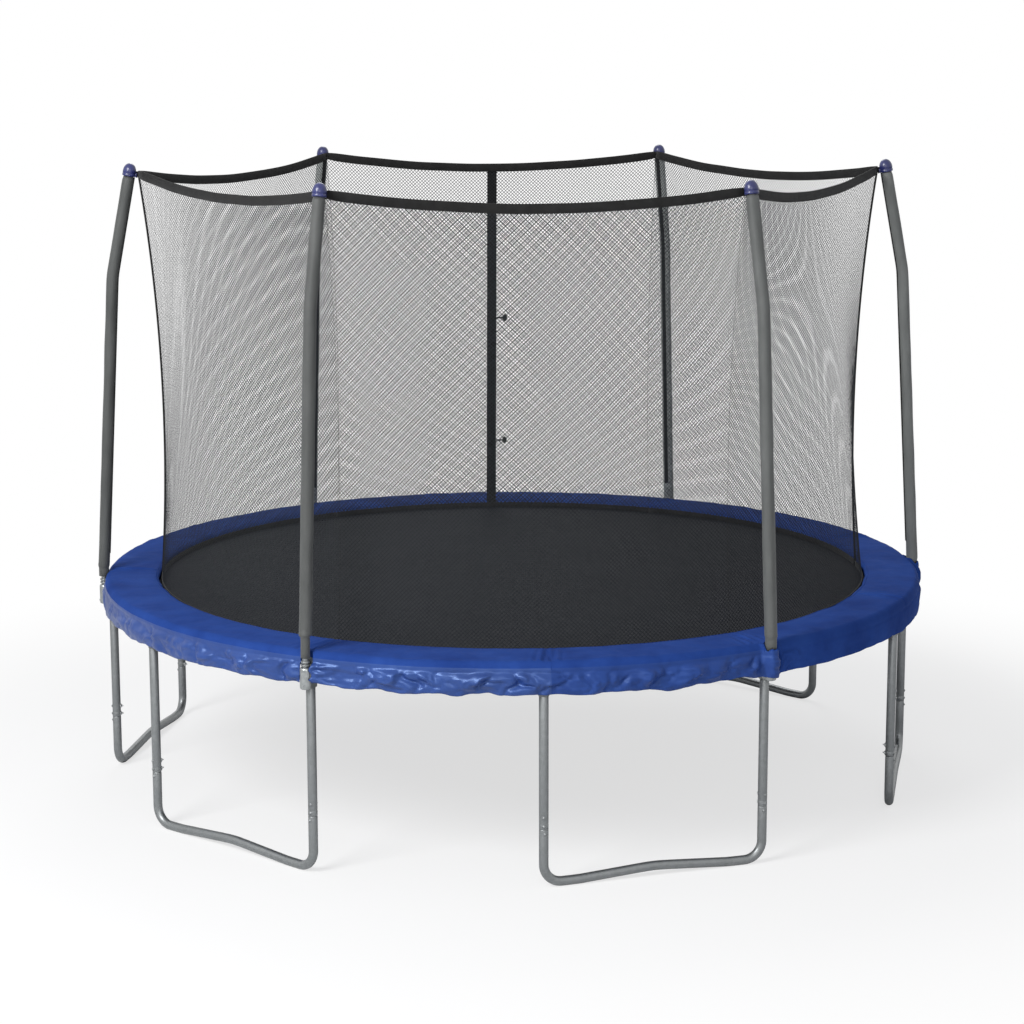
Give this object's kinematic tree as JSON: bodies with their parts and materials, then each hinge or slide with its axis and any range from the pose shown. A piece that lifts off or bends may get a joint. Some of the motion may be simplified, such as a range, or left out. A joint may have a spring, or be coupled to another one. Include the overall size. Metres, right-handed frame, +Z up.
{
  "type": "backyard trampoline",
  "caption": "Round backyard trampoline on W-shaped tube legs, with a padded spring cover and a netted safety enclosure on foam-sleeved poles with a zipped door.",
  "frame": {"origin": "on the ground under the middle of the bed", "axes": "+Z up, +X towards one enclosure pole, +Y towards the zipped door"},
  "size_m": [3.7474, 3.6898, 2.7436],
  "materials": {
    "galvanised_tube": "satin galvanised",
    "grey_foam": "matte",
    "blue_cap": "semi-gloss",
    "woven_mat": "matte woven",
    "zinc_spring": "bright zinc",
    "blue_vinyl": "satin vinyl",
    "net_cord": "matte knitted",
    "zip_tape": "matte",
    "zip_metal": "satin black",
    "clip_plastic": "satin black"
  },
  "bodies": {
    "frame": {"top_rail_1": "galvanised_tube", "top_rail_2": "galvanised_tube", "top_rail_3": "galvanised_tube", "top_rail_4": "galvanised_tube", "top_rail_5": "galvanised_tube", "top_rail_6": "galvanised_tube", "leg_post_1": "galvanised_tube", "leg_post_2": "galvanised_tube", "leg_post_3": "galvanised_tube", "leg_post_4": "galvanised_tube", "leg_post_5": "galvanised_tube", "leg_post_6": "galvanised_tube", "leg_post_7": "galvanised_tube", "leg_post_8": "galvanised_tube", "leg_post_9": "galvanised_tube", "leg_post_10": "galvanised_tube", "leg_post_11": "galvanised_tube", "leg_post_12": "galvanised_tube", "leg_base_1": "galvanised_tube", "leg_base_2": "galvanised_tube", "leg_base_3": "galvanised_tube", "leg_base_4": "galvanised_tube", "leg_base_5": "galvanised_tube", "leg_base_6": "galvanised_tube", "enclosure_pole_1": "galvanised_tube", "enclosure_pole_2": "galvanised_tube", "enclosure_pole_3": "galvanised_tube", "enclosure_pole_4": "galvanised_tube", "enclosure_pole_5": "galvanised_tube", "enclosure_pole_6": "galvanised_tube", "foam_sleeve_1": "grey_foam", "foam_sleeve_2": "grey_foam", "foam_sleeve_3": "grey_foam", "foam_sleeve_4": "grey_foam", "foam_sleeve_5": "grey_foam", "foam_sleeve_6": "grey_foam", "pole_cap_1": "blue_cap", "pole_cap_2": "blue_cap", "pole_cap_3": "blue_cap", "pole_cap_4": "blue_cap", "pole_cap_5": "blue_cap", "pole_cap_6": "blue_cap", "bed_springs": "zinc_spring", "spring_pad": "blue_vinyl", "safety_net_1": "net_cord", "safety_net_2": "net_cord", "safety_net_3": "net_cord", "safety_net_4": "net_cord", "safety_net_5": "net_cord", "safety_net_6": "net_cord", "zip_strip": "zip_tape"},
    "bed": {"jump_mat": "woven_mat"},
    "slider": {"zip_slider": "zip_metal"},
    "pull": {"zip_pull": "zip_metal"},
    "clip_low": {"door_clip_lower": "clip_plastic"},
    "clip_high": {"door_clip_upper": "clip_plastic"}
  },
  "joints": [
    {"name": "mat_bounce", "type": "slide", "parent": "frame", "child": "bed", "axis": [0, 0, 1], "range_m": [-0.25, 0], "stiffness_N_per_m": 5300, "springref_m": 0.06, "deforming": ["bed_springs"]},
    {"name": "zip_slide", "type": "slide", "parent": "frame", "child": "slider", "axis": [0, -0.091, 0.9958], "range_m": [0, 1.62]},
    {"name": "zip_pull_swing", "type": "hinge", "parent": "slider", "child": "pull", "pos_m": [0, 1.59248, 0.96172], "axis": [1, 0, 0], "range_deg": [0, 150]},
    {"name": "clip_low_swing", "type": "hinge", "parent": "frame", "child": "clip_low", "pos_m": [0.0243, 1.55991, 1.23891], "axis": [0, -0.091, 0.9958], "range_deg": [0, 90]},
    {"name": "clip_high_swing", "type": "hinge", "parent": "frame", "child": "clip_high", "pos_m": [0.0243, 1.50167, 1.87601], "axis": [0, -0.091, 0.9958], "range_deg": [0, 90]}
  ]
}
